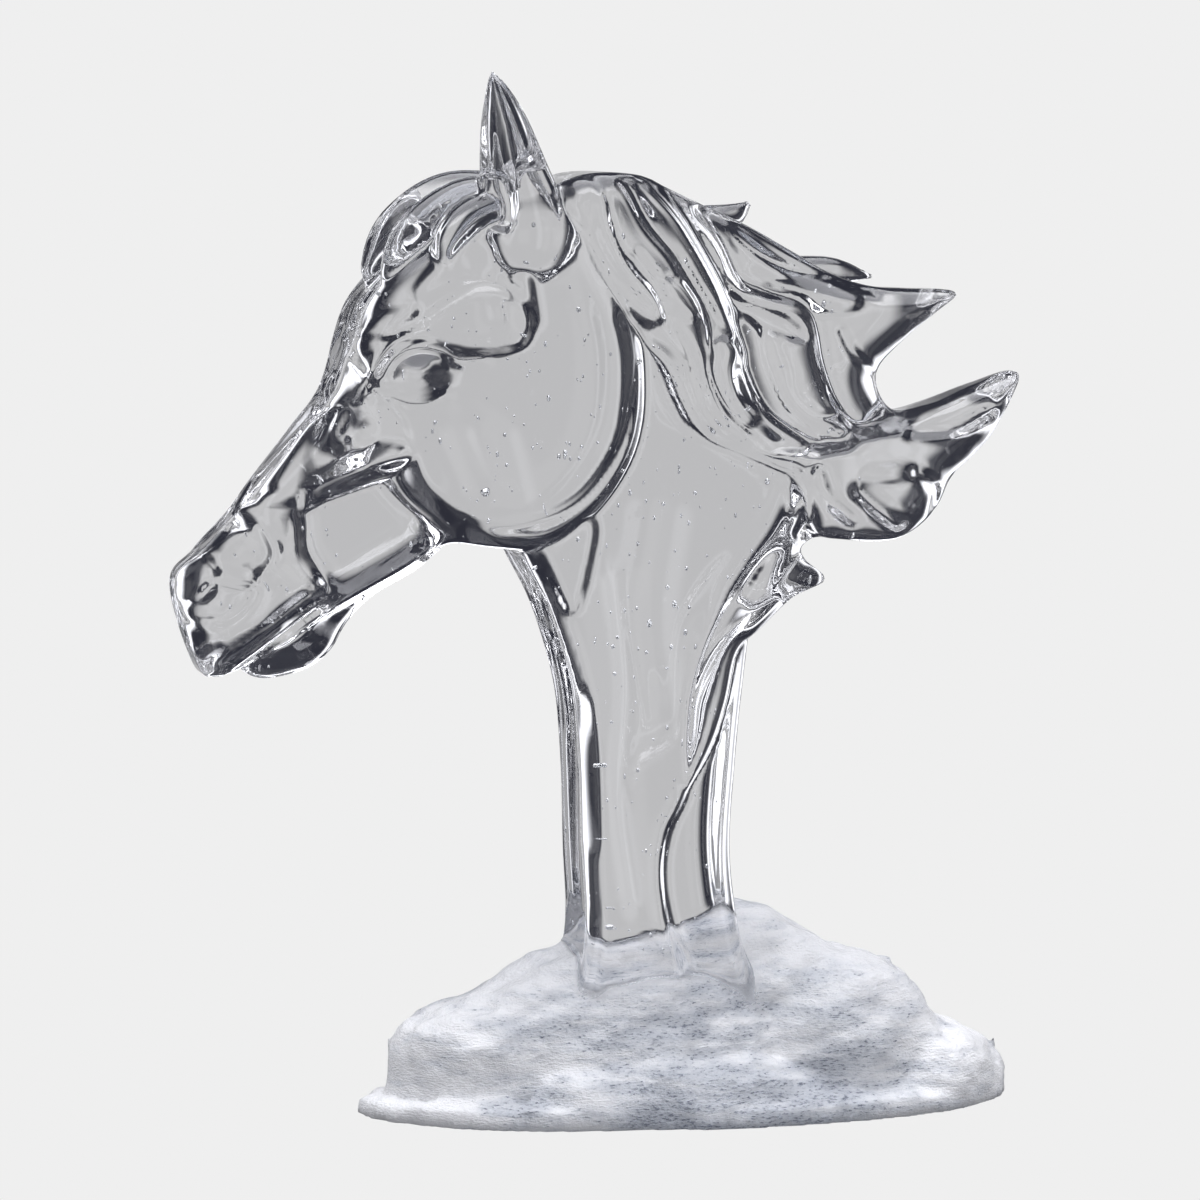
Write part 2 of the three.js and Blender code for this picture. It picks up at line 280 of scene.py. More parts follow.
# %% [markdown]
# ## The neck
#
# The neck is a straight column with flat sides, like a thick pane. A lofted tube would be easy, but it
# would act as a lens, and the real neck shows the backdrop plainly, so it is a plate. Its near front edge
# is a chamfer: a prism that looks dark where it slopes a little and bright where it is steep. The other
# edges are round. A crease runs down the near side from the tip of the hanging lock, and behind it the
# surface stands a few millimetres back, which the light draws as a second, narrower window.

# %% Neck outline and chamfer
NECK_HALF = 27.0
FAR_EXTRA = 1.5
SWELL = 2.0
NECK_EDGE = 7.0
CHAMFER_EDGE = 2.0
FAR_NECK_EDGE = 12.0
NAPE_EDGE = 9.0
CHAMFER_WIDTH = 6.0
BRIGHT_SLOPE = 46.0
DARK_SLOPE = 33.0
CREASE_DEPTH = 5.0

neck_outline = [
    (-20, 12), (-13, 45), (-9, 70), (-10, 100), (-11, 135), (-14, 165), (-23, 195), (-35, 220),
    (-44, 250), (-40, 300), (-28, 340), (-8, 342), (14, 320), (34, 302), (45, 286), (54, 274), (70, 264),
    (82, 250), (78, 228), (66, 208), (58, 192), (54, 165), (51, 135), (49, 100), (53, 68), (60, 45),
    (68, 12),
]
crease = [(28, 123), (22, 110), (19.5, 95), (21.5, 77), (27, 60), (34, 38)]
set_back = [(100, 236), (76, 222), (52, 200), (36, 176), (31, 150), *crease, (95, 38)]
behind_crease = outline_distance(curve(set_back, closed=True), side_x, side_z)
neck_depth = -outline_distance(curve(neck_outline, closed=True), side_x, side_z)
in_chamfer = np.clip(CHAMFER_WIDTH - neck_depth, 0, CHAMFER_WIDTH) * smooth_step(40, 10, side_x)
dark_part = smooth_step(108, 98, side_z) + smooth_step(158, 170, side_z)
chamfer_slope = (BRIGHT_SLOPE - (BRIGHT_SLOPE - DARK_SLOPE) * dark_part) * smooth_step(222, 204, side_z)
print("the chamfer slopes", DARK_SLOPE, "to", BRIGHT_SLOPE, "degrees over", CHAMFER_WIDTH, "mm")

# %% Neck sides
neck_side = (
    NECK_HALF
    + SWELL * smooth_step(190, 260, side_z)
    + SWELL * smooth_step(75, 35, side_z)
    + stroke([(4, 205), (9, 165), (6, 125), (12, 80)], 6, -1.0)
    + stroke([(22, 230), (17, 190), (22, 150)], 7, 0.8)
)
neck_near = (
    neck_side
    - in_chamfer * np.tan(np.radians(chamfer_slope))
    - CREASE_DEPTH * smooth_step(2.5, -2.5, behind_crease)
    + stroke(crease, 3, 1.5)
    + plateau([(-28, 226), (-23, 207), (-15, 194), (-9, 212), (-8, 230)], 3.0, 5)
)
at_nape = smooth_step(185, 250, side_z)
neck_edge = CHAMFER_EDGE + (NECK_EDGE - CHAMFER_EDGE) * smooth_step(5, 40, side_x)
neck_edge = neck_edge + (NAPE_EDGE - neck_edge) * at_nape
far_neck_edge = FAR_NECK_EDGE + (NAPE_EDGE - FAR_NECK_EDGE) * at_nape
add_form(horse, neck_outline, neck_near, neck_side + FAR_EXTRA, edge=neck_edge, far_edge=far_neck_edge)
print("neck", 2 * NECK_HALF + FAR_EXTRA, "mm thick")

# %% [markdown]
# ## The head
#
# The skull is a thick plate with the horse's profile. Seen from the front it tapers from cheeks 73 mm
# wide to lips 37 mm wide, before the features are laid on. Its half width is a sum of smooth steps along
# a line from the lips to the poll. The cheek, the facial crest, the brow and the nostril are raised or
# sunken fields on it, and the eyelids and the folds of the muzzle are strokes. A polygon cage would have
# to be cut along every one of these lines. The lower jaw is a plate of its own, narrower than the lips,
# and melts into the skull. Both slope away under the jaw, so that the light leaves them upwards and they
# look dark from the side.

# %% Head in large forms
MUZZLE_HALF = 18.5
LIP_SWELL = 1.5
NOSE_HALF = 23.0
POLL_TAPER = 3.0
AXIS_START = (-160.0, 190.0)

skull_outline = [
    (-165, 206), (-155, 219), (-141, 234), (-129, 249), (-117, 264), (-106, 278), (-100, 295), (-94, 312),
    (-82, 326), (-64, 339), (-45, 347), (-20, 352), (0, 335), (10.5, 305), (13, 279), (10.5, 259),
    (2.5, 242.5), (-10, 228.5), (-26, 219), (-44, 219), (-62, 220), (-78, 211), (-98, 200), (-112, 191),
    (-122, 184), (-133, 178), (-141, 173), (-149, 171), (-156, 175),
]
along = (side_x - AXIS_START[0] + side_z - AXIS_START[1]) / math.sqrt(2)
head_side = (
    MUZZLE_HALF
    + LIP_SWELL * smooth_step(0, 25, along)
    + (NOSE_HALF - MUZZLE_HALF - LIP_SWELL) * smooth_step(35, 60, along)
    - POLL_TAPER * smooth_step(190, 225, along)
)
print("half width", MUZZLE_HALF, "to", NOSE_HALF, "mm")

# %% Cheek and facial crest
CHEEK_RISE = 13.5
CREST_AT_NOSE = 3.0
CREST_AT_CHEEK = 13.0

cheek = [
    (-78, 246), (-69, 236), (-58, 228), (-40, 214), (-10, 205), (40, 220), (45, 300), (10, 345), (-40, 345),
    (-95, 330), (-105, 300), (-86, 268),
]
crest = [
    (-70, 254), (-90, 249), (-110, 241.5), (-121, 235.5), (-140, 240), (-140, 280), (-115, 310), (-60, 310),
    (-50, 270),
]
crest_rise = CREST_AT_NOSE + (CREST_AT_CHEEK - CREST_AT_NOSE) * smooth_step(-130, -72, side_x)
head_side += np.maximum(plateau(cheek, CHEEK_RISE, 11), plateau(crest, 1.0, 9) * crest_rise)
print("cheek", CHEEK_RISE, "mm high, crest", CREST_AT_NOSE, "to", CREST_AT_CHEEK, "mm")

# %% Raised and sunken fields
head_panels = [
    # outline, height, width of the bevel: side of the muzzle, brow round the eye, nostril, tip of the nose
    ([(-158, 214), (-141, 228), (-121, 234), (-118, 216), (-110, 205), (-118, 198), (-141, 180),
      (-153, 180)], 1.8, 5),
    ([(-96, 282), (-94, 292), (-86, 300), (-75, 305), (-62, 313), (-50, 318), (-38, 313), (-34, 303),
      (-37, 296), (-50, 294), (-62, 296), (-74, 299), (-84, 296), (-91, 289)], 2.6, 5),
    ([(-157, 203), (-151, 208), (-143, 207), (-136, 204.5), (-140, 197), (-149, 191.5), (-157, 194)],
     -3.2, 5),
    ([(-166, 205), (-157, 218), (-150, 213), (-153, 203), (-161, 200)], -2.5, 4),
]
for points, height, bevel in head_panels:
    head_side += plateau(points, height, bevel)
head_bosses = [
    # centre, radii, height, lean: lids over the eyeball, eyeball, end of the crest, nose round the nostril
    ((-74.5, 285), (16, 12.5), 3.0, 8),
    ((-77, 286), (9, 6.5), 1.8, 8),
    ((-86.5, 256), (12, 6.5), 2.6, 25),
    ((-147, 201), (20, 15), 3.0, 25),
]
for centre, radii, height, lean in head_bosses:
    head_side += dome(centre, radii, height, lean)
print(len(head_panels), "fields and", len(head_bosses), "bosses")

# %% Head in strokes
head_strokes = [
    # points, radius, height: edge of the forehead, rear of the brow
    ([(-97, 277), (-95, 290), (-89, 302), (-80, 309)], 4.0, 2.2),
    ([(-36, 320), (-34, 306)], 4.0, 2.0),
    # upper lid, corner of the eye, lower lid, hollow in front of the eye
    ([(-88, 285), (-84, 291.5), (-76, 295), (-67, 294), (-60, 290.5)], 2.1, -1.3),
    ([(-62, 291.5), (-58, 290.5), (-52, 291.5)], 2.8, -1.8),
    ([(-87, 278), (-80, 275), (-72, 275), (-65, 278.5)], 2.0, -1.4),
    ([(-91, 280), (-99, 273), (-103, 265)], 3.5, -1.8),
    # fold across the muzzle, fold behind the nostril, mouth
    ([(-117.5, 240), (-116, 230), (-115.5, 221), (-112, 214), (-107.5, 206)], 2.1, -1.8),
    ([(-133, 229), (-128.5, 221), (-129, 215), (-134, 209)], 2.2, -1.6),
    ([(-144, 173), (-135, 179.5), (-121, 190), (-111, 197)], 2.3, -4.5),
    # muscles of the cheek, groove along its rim
    ([(-60, 262), (-51, 243)], 6.0, 0.9),
    ([(-44, 262), (-38, 240)], 6.0, 0.7),
    ([(4, 306), (6.5, 292), (6, 276), (3, 261), (-4, 248), (-14, 237), (-28, 230), (-46, 228), (-58, 230)],
     2.6, -1.5),
]
for points, radius, height in head_strokes:
    head_side += stroke(points, radius, height)
print(len(head_strokes), "strokes")

# %% Under the jaw and the far side
JAW_FACET_WIDTH = 11.0
JAW_FACET_SLOPE = 0.46
FAR_WORN = 0.55
FAR_CRISP = 0.45
FAR_TAPER = 3.0

underneath = smooth_step(10, -10, side_z - side_x - 350) * smooth_step(-52, -72, side_x)
skull_depth = -outline_distance(curve(skull_outline, closed=True), side_x, side_z)
head_side -= underneath * np.clip(JAW_FACET_WIDTH - skull_depth, 0, JAW_FACET_WIDTH) * JAW_FACET_SLOPE
head_far = FAR_WORN * soften(head_side, 12) + FAR_CRISP * head_side
head_far -= FAR_TAPER * smooth_step(95, 150, along)
print("the far side keeps", FAR_CRISP, "of the crisp relief")

# %% Skull and lower jaw
HEAD_EDGE = 11.0
JAW_SLOPE = 0.48
JAW_HALF = 5.0
FAR_JAW_HALF = 8.5
JAW_EDGE = 3.0

jaw_outline = [
    (-139, 180), (-139, 174), (-134, 170), (-126, 169.5), (-113, 173), (-104, 180), (-98, 190), (-88, 200),
    (-68, 212), (-60, 226), (-90, 226), (-110, 205), (-122, 190),
]
jaw_depth = np.clip(distance_to(curve(jaw_outline[1:9]), side_x, side_z), 0, 15)
jaw_side = JAW_HALF + JAW_SLOPE * jaw_depth
jaw_far = FAR_JAW_HALF + JAW_SLOPE * jaw_depth
head_edge = (HEAD_EDGE + 1.5 * smooth_step(50, 130, along)) * (1 - 0.65 * underneath)
head = np.full_like(horse, FAR_AWAY)
add_form(head, skull_outline, head_side, head_far, edge=head_edge, far_edge=head_edge + 2)
add_form(head, jaw_outline, jaw_side, jaw_far, edge=JAW_EDGE, blend=1.5)
horse = smooth_min(horse, head, 2.5)
print("cheeks", 2 * (NOSE_HALF + CHEEK_RISE), "mm wide, lips", 2 * MUZZLE_HALF, "mm")

# %% [markdown]
# ## Ears and forelock
#
# An ear is a leaf rolled into a cup. A flattened tapered rod gives the leaf, and a second rod cut out of
# its front and outer side gives the cup and its thin rim. The far ear is turned back a little, so that
# from the photo's side it hides behind the near one. The forelock is a bunch of tapered rods that leave
# the poll between the ears and curl over the brow.

# %% Ears
EAR_SPREAD = 25.0
EAR_SQUASH = 1.15
FAR_EAR_BACK = 10
FAR_EAR_DROP = 5

ear_rows = [
    (-33, 2, 338, 16.5), (-34.5, 0, 349, 15.2), (-37.5, 0, 362, 12.8),
    (-40.5, 0, 377, 9.5), (-43, 0, 389, 5.4), (-45.5, 0, 398, 1.3),
]
cup_rows = [
    (-43, 10, 340, 3), (-46, 11, 350, 7.5), (-48, 11, 364, 8),
    (-48, 9, 377, 6.4), (-47.5, 6, 388, 3.8), (-47, 3, 396, 1.4),
]
for side, back, down in ((-1, 0, 0), (1, FAR_EAR_BACK, -FAR_EAR_DROP)):
    ear = np.full_like(horse, FAR_AWAY)
    for rows, hollow in ((ear_rows, False), (cup_rows, True)):
        moved = [(x + back, side * (EAR_SPREAD + y), z + down, r) for x, y, z, r in rows]
        add_tapered(ear, moved, squash=EAR_SQUASH, blend=2.0, hollow=hollow)
    horse = smooth_min(horse, ear, 2.5)
print("ears", 2 * EAR_SPREAD, "mm apart")

# %% Forelock
forelock_rows = [
    [(-34, -10, 350, 10), (-56, -17, 349, 9.5), (-75, -22, 338, 8), (-84, -25, 325, 4.5),
     (-85, -26, 316, 1.2)],
    [(-34, -18, 347, 8), (-52, -27, 345, 7.5), (-64, -33, 336, 5.5), (-66, -35, 325, 1.2)],
    [(-34, 0, 350, 11), (-58, 0, 350, 11), (-77, -2, 340, 9), (-88, -6, 327, 4.5), (-90, -9, 316, 1.2)],
    [(-34, 12, 350, 9), (-56, 18, 348, 9), (-74, 23, 337, 7), (-84, 26, 322, 1.2)],
    [(-36, 9, 350, 6), (-50, 13, 354, 4), (-60, 15, 358, 1.0)],
]
for rows in forelock_rows:
    add_tapered(horse, rows, blend=2.2)
print(len(forelock_rows), "locks over the brow")

# %% [markdown]
# ## The mane
#
# The wind lifts the mane off the neck into one thick plate that thins towards two pointed tips and a
# ragged lower lobe. It is carved in levels. Each ends in a long S-shaped edge and drops a few millimetres
# to the next, with a groove along its foot that has a sharp bottom and soft shoulders. Raised locks and
# finer grooves lie on the levels. Rods for single strands would leave walls inside the resin, so every
# strand is relief on the plate. The far side has the same levels, worn soft, and one wide groove.

# %% Mane levels
MANE_HALF = 35.0
LEVEL_DROP = 5.0
LEVEL_BEVEL = 5.0
POLL_THINNING = 3.0
TIP_THINNING = 8.0
LOBE_THINNING = 12.0

mane_outline = [
    (-26, 350), (-12, 360), (12, 360), (33, 351), (54, 342), (74, 331), (90, 322), (106, 317), (120, 316),
    (140, 314.5), (131, 306), (121, 298), (109, 286), (109, 276), (116, 269), (130, 272), (148, 279),
    (165, 283), (155, 262), (146, 252), (136, 243), (129, 230), (114, 220), (93, 220), (80, 224),
    (74, 243), (63, 248.5), (50, 254.5), (37, 260), (30, 271), (22.5, 287), (8, 300), (-4, 316),
    (-16, 336),
]
mane_middle = -6.0 * smooth_step(70, 150, side_x)
lock_edges = [
    curve(rows, steps=6)
    for rows in (
        [(4, 357), (13, 341), (23, 329), (30, 317), (36, 305), (38, 294), (38.5, 284), (43.5, 273),
         (50, 265.5), (63, 257.5), (80, 254)],
        [(20, 356), (30, 341), (39, 326), (45, 314), (49, 302), (52, 293), (53, 286), (58, 274.5),
         (66, 265), (80, 257.5), (92, 257)],
        [(36, 346), (44.5, 333.5), (51, 320), (59, 315.5), (70.5, 312.5), (78.5, 307.5), (81.5, 299),
         (83.5, 288), (88.5, 274), (94.5, 265.5), (99, 261)],
    )
]
lobe_outline = [
    (74, 243), (82, 254), (90.5, 255), (98.5, 261), (110.5, 262.5), (121, 267), (130, 273.5), (158, 282),
    (180, 290), (190, 240), (130, 205), (80, 212),
]
in_lobe = smooth_step(3, -3, outline_distance(lobe_outline + lobe_outline[:1], side_x, side_z))


def drop_behind(line):
    """The drop behind a level's edge: a smooth step over the outline of all that lies behind it."""
    area = np.concatenate([line, [(140, 200), (220, 200), (220, 420), line[0]]])
    behind = outline_distance(area, side_x, side_z)
    return LEVEL_DROP * smooth_step(LEVEL_BEVEL / 2, -LEVEL_BEVEL / 2, behind)


level_drop = sum(drop_behind(line) for line in lock_edges)
lobe_drop = LOBE_THINNING * np.clip((side_x - 50) / 115, 0, 1) - 1.0
mane_side = (
    MANE_HALF
    - POLL_THINNING * smooth_step(5, -25, side_x)
    - TIP_THINNING * np.clip((side_x - 90) / 75, 0, 1)
    - level_drop * (1 - in_lobe)
    - lobe_drop * in_lobe
)
tip_half = mane_side[side_x > 160].mean()
print("mane", 2 * MANE_HALF, "mm thick at the crest,", round(2 * tip_half), "mm at the tips")

# %% Locks of the mane
GROOVE_RADIUS = 6.0
GROOVE_DEPTH = 3.6
FAR_GROOVE_SHIFT = (9.0, 2.0)
LEAST_HALF = 1.2

lock_shapes = [
    # outline, height, width of the bevel
    ([(-17, 360), (-18, 349), (-16, 338), (-10, 325), (-1, 315), (6, 308), (13, 304), (17.5, 306),
      (16, 313), (8.5, 321.5), (2.5, 330), (-2, 341), (-5, 353), (-10, 359)], 3.6, 5),
    ([(18, 319.5), (20, 313), (28, 306.5), (33, 308.5), (30, 315), (22.5, 320.5)], 2.8, 4),
    ([(37.5, 295), (42.5, 298), (49, 294), (46.5, 286), (48.5, 276.5), (54.5, 268), (54.5, 265),
      (49.5, 265.5), (43.5, 273), (38.5, 284.5)], 3.0, 4.5),
    ([(46.5, 314), (57, 311), (69, 306), (76, 300), (75, 297), (68, 298), (57, 303), (49, 309)], -4.0, 6),
    ([(63, 319), (76.5, 317), (88.5, 314.5), (98, 312.5), (96.5, 308.5), (86.5, 307.5), (74.5, 309.5),
      (67, 314.5)], 2.6, 5),
]
fine_grooves = [
    # points, radius, depth
    ([(-9, 355), (-9, 341), (-4, 329), (4, 318), (12, 310)], 2.2, 1.6),
    ([(8, 330), (16, 318), (22, 303), (29, 292), (34, 278), (38, 269), (49, 260), (63, 256)], 3.2, 2.6),
    ([(26, 328), (33, 317), (40, 306), (44, 300)], 2.2, 1.6),
    ([(60, 300), (61, 292), (63, 286), (68, 274.5), (75, 266), (85, 261)], 2.4, 2.0),
    ([(67, 296), (71, 286), (73, 276), (81.5, 269), (90, 268)], 2.2, 1.6),
    ([(50, 338), (60, 330), (72, 324), (88, 320), (108, 314)], 3.4, 2.6),
    ([(92, 300), (97, 291), (106, 283)], 3.0, 2.2),
    ([(80, 247), (84, 237), (93, 229)], 5.0, 3.4),
    ([(96.5, 239), (104.5, 232), (112.5, 226)], 6.0, 4.4),
    ([(120, 246), (127, 240), (128, 232)], 5.0, 3.0),
    ([(118, 262), (134, 263), (150, 269)], 6.0, 4.2),
]


def valley(line, radius, depth):
    """Depth of a groove with a sharp bottom and soft shoulders: depth * (1 - distance / radius)^1.6."""
    return depth * np.clip(1 - distance_to(line, side_x, side_z) / radius, 0, None) ** 1.6


mane_near = mane_side + dome((108.5, 246), (14, 6), 3.0, lean=4)
for line in lock_edges:
    mane_near -= valley(line, GROOVE_RADIUS, GROOVE_DEPTH) * (1 - 0.7 * in_lobe)
for rows, radius, depth in fine_grooves:
    mane_near -= valley(curve(rows, steps=6), radius, depth)
for outline, height, bevel in lock_shapes:
    mane_near += plateau(outline, height, bevel)
far_groove = lock_edges[1] + FAR_GROOVE_SHIFT
mane_far = soften(mane_side, 8) - valley(far_groove, GROOVE_RADIUS + 3, 0.5 * GROOVE_DEPTH)
mane = np.full_like(horse, FAR_AWAY)
mane_near = np.maximum(mane_near, LEAST_HALF)
mane_far = np.maximum(mane_far, LEAST_HALF)
add_form(mane, mane_outline, mane_near, mane_far, mane_middle, edge=12.0)
print(len(lock_edges) + len(fine_grooves), "grooves and", len(lock_shapes), "locks on the near side")

# %% Hanging lock and far crest locks
hanging_outline = [
    (88, 226), (79, 222), (71, 227), (60, 217), (50, 204), (37, 183), (30, 163), (28, 144), (27, 122),
    (35, 132), (41, 144), (46, 160), (50, 178), (58, 186), (72, 197), (87, 204), (79, 212), (77, 217),
    (84, 222),
]
hanging_half = 12.0 - 5.0 * smooth_step(60, 88, side_x) - 4.0 * smooth_step(150, 122, side_z)
hanging_middle = -21.5 + 8.0 * smooth_step(55, 85, side_x)
add_form(mane, hanging_outline, hanging_half, middle=hanging_middle, edge=10.0, blend=3.0)
far_crest_rows = [
    [(50, 12, 328, 9), (76, 14, 321, 8), (96, 15, 322, 5.5), (112, 16, 320, 1.2)],
    [(26, 8, 340, 8), (44, 10, 341, 7), (56, 11, 344, 4.5), (62, 12, 348, 1.5)],
]
for rows in far_crest_rows:
    add_tapered(mane, rows, blend=2.0)
horse = smooth_min(horse, mane, 1.8)
print("hanging lock", round(2 * hanging_half.max()), "mm thick, far locks:", len(far_crest_rows))

# %% [markdown]
# ## The mound
#
# The foot was cast against crumpled, gritty stuff: low rocks that run together, with thin level ledges
# near the floor. Its height is a soft maximum of a few domes over the plan, (sum of h^7)^(1/7), and value
# noise at three scales breaks it up. The noise is squeezed in height, which draws the ledges.

# %% Rocks of the mound
MOUND_CENTRE = 35.0
MOUND_HALF = np.array([129.0, 64.0])
ROCK_BLEND = 7
rocks = [
    # centre x and y, radius in x and y, height, fullness
    (35, 0, 129, 64, 13, 3.5),
    (14, 6, 76, 54, 66, 2.0),
    (-34, 2, 49, 40, 41, 4.0),
    (56, 14, 48, 42, 76, 2.0),
    (92, 6, 50, 48, 58, 2.2),
    (124, 2, 40, 44, 30, 2.4),
    (24, -34, 64, 28, 26, 2.4),
    (40, 36, 62, 27, 34, 2.4),
]
plan_x, plan_y = np.meshgrid(grid_x, grid_y, indexing="ij")


def rock_height(x, y, centre_x, centre_y, radius_x, radius_y, height, fullness):
    """height * (1 - r^n)^(1/n), with r the distance from the centre in radii and n the fullness."""
    r = np.hypot((x - centre_x) / radius_x, (y - centre_y) / radius_y)
    return height * np.clip(1 - r**fullness, 0, None) ** (1 / fullness)


mound_height = sum(rock_height(plan_x, plan_y, *rock) ** ROCK_BLEND for rock in rocks) ** (1 / ROCK_BLEND)
mound_slope = np.hypot(*np.gradient(mound_height, grid_x, grid_y))
angle = np.arctan2(plan_y / MOUND_HALF[1], (plan_x - MOUND_CENTRE) / MOUND_HALF[0])
rim = 1 - np.sin(angle) ** 2 * (0.015 + 0.015 * np.cos(7 * angle)) - 0.012 * np.sin(4 * angle) ** 2
plan_radius = np.hypot((plan_x - MOUND_CENTRE) / MOUND_HALF[0], plan_y / MOUND_HALF[1])
plan_reach = (plan_radius - rim) * MOUND_HALF[1]
print(len(rocks), "rocks, the highest", round(mound_height.max()), "mm")


# %% Grit and ledges
MOUND_TOP = 100.0
noise_scales = (
    # height, cell sizes in x, y and z, seed
    (2.2, (17, 17, 12), 3),
    (1.3, (7.5, 7.5, 4.5), 4),
    (0.5, (4.2, 4.2, 2.6), 5),
)


def blend_corners(corner_value, shares):
    """A cell's eight corners blended: each value times the share, or 1 - share, along each axis."""
    total = 0
    for corner in range(8):
        steps = [(corner >> k) & 1 for k in range(3)]
        weight = 1
        for step, share in zip(steps, shares):
            weight = weight * (share if step else 1 - share)
        total = total + weight * corner_value(steps)
    return total


def value_noise(x, y, z, cell, seed):
    """Random values from -1 to 1 on a lattice with the given cell sizes, blended by smooth steps."""
    side = 64
    lattice = np.random.default_rng(seed).uniform(-1, 1, (side, side, side)).astype(np.float32)
    coords = [np.asarray(v, np.float32) / c + side / 2 for v, c in zip((x, y, z), cell)]
    floors = [np.floor(c).astype(int) for c in coords]
    shares = [(c - f) ** 2 * (3 - 2 * (c - f)) for c, f in zip(coords, floors)]
    return blend_corners(lambda near: lattice[tuple((f + s) % side for f, s in zip(floors, near))], shares)


mound_layers = int(np.searchsorted(grid_z, MOUND_TOP))
mx, my, mz = np.meshgrid(grid_x, grid_y, grid_z[:mound_layers], indexing="ij")
rough = sum(rise * value_noise(mx, my, mz, cell, seed) for rise, cell, seed in noise_scales)
mound = np.full_like(horse, FAR_AWAY)
body = (mz - mound_height[:, :, None]) / np.sqrt(1 + mound_slope[:, :, None] ** 2)
body = body + rough * smooth_step(1, 9, mz)
body = np.maximum(body, plan_reach[:, :, None] + rough * 0.8)
mound[:, :, :mound_layers] = body
field = smooth_min(horse, mound, 2.5)
field = np.maximum(field, -grid_z[None, None, :]).astype(np.float32)
print("grit up to", round(np.abs(rough).max(), 1), "mm")

# %% [markdown]
# ## The skin
#
# Surface nets turn the field into a mesh. Every grid cell that the surface passes through gets one
# vertex, at the mean of the points where its edges cross zero, and every crossed edge gets one quad
# between the four cells around it. Then each vertex slides along the field's slope onto the surface, and
# the slope becomes the shading normal, because clear resin shows every facet that a flat normal leaves.

# %% Surface nets
def surface_net(values):
    """Vertices and quads of the surface where values change sign. Quads face from negative to positive."""
    shape = np.array(values.shape)
    cell_shape = shape - 1
    cell_count = int(np.prod(cell_shape))
    sums = np.zeros((cell_count, 4))
    quads = []
    for k in range(3):
        along = np.eye(3, dtype=int)[k]
        u, v = np.eye(3, dtype=int)[[(k + 1) % 3, (k + 2) % 3]]
        first = values[tuple(slice(0, n - a) for n, a in zip(shape, along))]
        second = values[tuple(slice(a, n) for n, a in zip(shape, along))]
        start = np.argwhere((first < 0) != (second < 0))
        end = start + along
        f0, f1 = values[tuple(start.T)].astype(float), values[tuple(end.T)].astype(float)
        share = f0 / (f0 - f1)
        point = np.stack([a[s] + share * (a[e] - a[s]) for a, s, e in zip(axes, start.T, end.T)], 1)
        around = []
        for offset in (0 * u, -u, -u - v, -v):
            cell = np.ravel_multi_index(tuple((start + offset).T), cell_shape)
            around.append(cell)
            for column in range(3):
                sums[:, column] += np.bincount(cell, point[:, column], cell_count)
            sums[:, 3] += np.bincount(cell, minlength=cell_count)
        ring = np.stack(around, 1)
        quads.append(np.where((f0 < 0)[:, None], ring, ring[:, ::-1]))
    used = np.flatnonzero(sums[:, 3])
    number = np.zeros(cell_count, int)
    number[used] = np.arange(len(used))
    return sums[used, :3] / sums[used, 3:], number[np.concatenate(quads)]


points, quads = surface_net(field)
print(len(points), "vertices")


# %% Slide onto the surface
def sample(values, points):
    """Values of a grid array at any points, blended linearly between the eight grid points around each."""
    cells, shares = [], []
    for axis, column in zip(axes, points.T):
        i = np.clip(np.searchsorted(axis, column) - 1, 0, len(axis) - 2)
        cells.append(i)
        shares.append((column - axis[i]) / (axis[i + 1] - axis[i]))
    return blend_corners(lambda near: values[tuple(c + s for c, s in zip(cells, near))], shares)


slopes = np.gradient(field, *axes)


def slope_at(where):
    """The field's slope, three numbers for each point."""
    return np.stack([sample(s, where) for s in slopes], 1)


for _ in range(2):
    g = slope_at(points)
    step = (sample(field, points) / np.maximum((g**2).sum(1), 0.1))[:, None] * g
    slide = np.clip(step, -0.5, 0.5)
    points = points - slide
points[:, 2] = np.where(points[:, 2] < 0.25, 0.0, points[:, 2])
normals = slope_at(points)
normals /= np.maximum(np.linalg.norm(normals, axis=1), 1e-9)[:, None]
print("last slide up to", round(slide.max(), 2), "mm")


# %% The flat underside
def close_flat_underside(points, quads):
    """Takes out the quads on the floor plane. The edges that only one of them has form the ring around the
    hole, and one flat face can close it. Returns the other quads and the ring."""
    flat = (points[quads][:, :, 2] < 0.02).all(1)
    edges = np.stack([quads[flat], np.roll(quads[flat], -1, 1)], 2).reshape(-1, 2)
    there = edges[:, 0] * len(points) + edges[:, 1]
    back = edges[:, 1] * len(points) + edges[:, 0]
    follow = dict(edges[~np.isin(back, there)].tolist())
    ring = [next(iter(follow))]
    while follow[ring[-1]] != ring[0]:
        ring.append(follow[ring[-1]])
    return quads[~flat], ring


side_quads, floor_ring = close_flat_underside(points, quads)
print(2 * len(side_quads) + len(floor_ring) - 2, "triangles")


# %% Write the skin
def new_mesh(name, vertices, faces):
    """A mesh object in metres from vertices in millimetres, standing at the origin with smooth shading."""
    mesh = bpy.data.meshes.new(name)
    mesh.from_pydata((np.asarray(vertices) * MM).tolist(), [], faces)
    mesh.shade_smooth()
    mesh.update()
    made = bpy.data.objects.new(name, mesh)
    scene.collection.objects.link(made)
    return made


kept = np.unique(np.concatenate([side_quads.ravel(), floor_ring]))
renumber = np.zeros(len(points), int)
renumber[kept] = np.arange(len(kept))
faces = renumber[side_quads].tolist() + [renumber[floor_ring].tolist()]
skin = new_mesh("horse_head_resin", points[kept], faces)
skin_mesh = skin.data
corner_normals = normals[kept][renumber[side_quads]].reshape(-1, 3)
floor_normals = np.tile([0.0, 0.0, -1.0], (len(floor_ring), 1))
skin_mesh.normals_split_custom_set(np.concatenate([corner_normals, floor_normals]).tolist())

